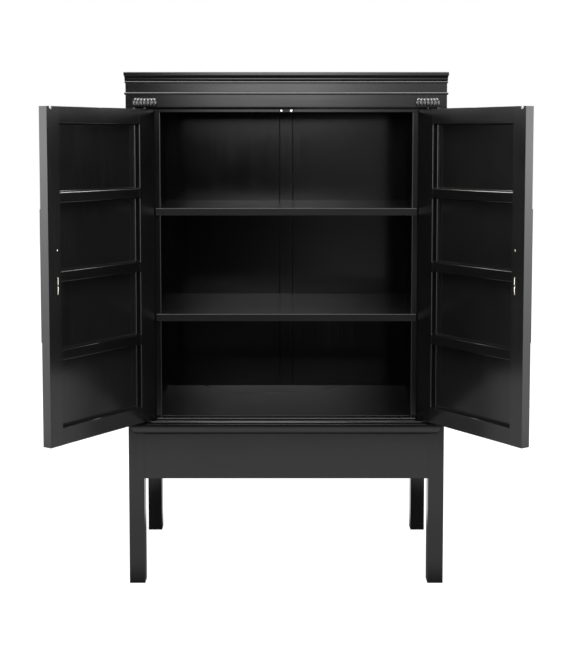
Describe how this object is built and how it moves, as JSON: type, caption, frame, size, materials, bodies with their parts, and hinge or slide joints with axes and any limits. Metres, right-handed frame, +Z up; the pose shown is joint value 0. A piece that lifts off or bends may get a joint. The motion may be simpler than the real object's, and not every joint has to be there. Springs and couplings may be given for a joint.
{
  "type": "bar armoire",
  "caption": "Tall black-lacquered bar armoire on square legs, with pivot-hung doors standing open, fixed shelves, a moulded top board, round black door plates and brass drop pulls.",
  "frame": {"origin": "on the floor, under the middle of the envelope with the doors standing open as in the rest pose", "axes": "+Z up, +X to the right of someone facing the doors, +Y from the front towards the back"},
  "size_m": [1.5782, 1.0658, 1.816],
  "materials": {
    "black_lacquer": "satin-gloss black lacquer over wood",
    "brass": "brushed, lightly aged",
    "steel": "nickel plated",
    "black_metal": "blackened, satin",
    "catch_plastic": "moulded, matte"
  },
  "bodies": {
    "cabinet": {"back_centre_stile": "black_lacquer", "back_left_panel": "black_lacquer", "back_right_panel": "black_lacquer", "catch_body": "catch_plastic", "catch_magnets": "steel", "ceiling_panel": "black_lacquer", "door_stop_rail": "black_lacquer", "floor_panel": "black_lacquer", "frieze_rail": "black_lacquer", "front_apron": "black_lacquer", "front_left_leg": "black_lacquer", "front_right_leg": "black_lacquer", "front_sill": "black_lacquer", "front_waist_moulding": "black_lacquer", "left_apron": "black_lacquer", "left_jamb": "black_lacquer", "left_lining": "black_lacquer", "left_pivot_cap": "black_lacquer", "left_side_panel": "black_lacquer", "left_top_rail": "black_lacquer", "lower_shelf": "black_lacquer", "pivot_bushes": "brass", "rear_apron": "black_lacquer", "rear_left_leg": "black_lacquer", "rear_right_leg": "black_lacquer", "rear_top_rail": "black_lacquer", "right_apron": "black_lacquer", "right_jamb": "black_lacquer", "right_lining": "black_lacquer", "right_pivot_cap": "black_lacquer", "right_side_panel": "black_lacquer", "right_top_rail": "black_lacquer", "shelf_cleats": "black_lacquer", "threshold_strip": "black_lacquer", "top_board": "black_lacquer", "upper_shelf": "black_lacquer"},
    "left_door": {"left_door_bottom_rail": "black_lacquer", "left_door_free_stile": "black_lacquer", "left_door_hinge_stile": "black_lacquer", "left_door_mid_rails": "black_lacquer", "left_door_panel": "black_lacquer", "left_door_pivot_pins": "steel", "left_door_plate": "black_metal", "left_door_strike": "steel", "left_door_studs": "brass", "left_door_top_rail": "black_lacquer"},
    "right_door": {"right_door_bottom_rail": "black_lacquer", "right_door_free_stile": "black_lacquer", "right_door_hinge_stile": "black_lacquer", "right_door_mid_rails": "black_lacquer", "right_door_panel": "black_lacquer", "right_door_pivot_pins": "steel", "right_door_plate": "black_metal", "right_door_strike": "steel", "right_door_studs": "brass", "right_door_top_rail": "black_lacquer"},
    "left_pull": {"left_drop_pull": "brass"},
    "right_pull": {"right_drop_pull": "brass"}
  },
  "joints": [
    {"name": "left_door_hinge", "type": "hinge", "parent": "cabinet", "child": "left_door", "pos_m": [-0.4944, -0.1165, 1.1375], "axis": [0, 0, -1], "range_deg": [-124.4, 1.6]},
    {"name": "right_door_hinge", "type": "hinge", "parent": "cabinet", "child": "right_door", "pos_m": [0.4944, -0.1165, 1.1375], "axis": [0, 0, 1], "range_deg": [-124.4, 1.6]},
    {"name": "left_pull_swing", "type": "hinge", "parent": "left_door", "child": "left_pull", "pos_m": [-0.77281, -0.47355, 1.11], "axis": [0.565, 0.8251, 0], "range_deg": [0, 85]},
    {"name": "right_pull_swing", "type": "hinge", "parent": "right_door", "child": "right_pull", "pos_m": [0.77281, -0.47355, 1.11], "axis": [0.565, -0.8251, 0], "range_deg": [0, 85]}
  ]
}
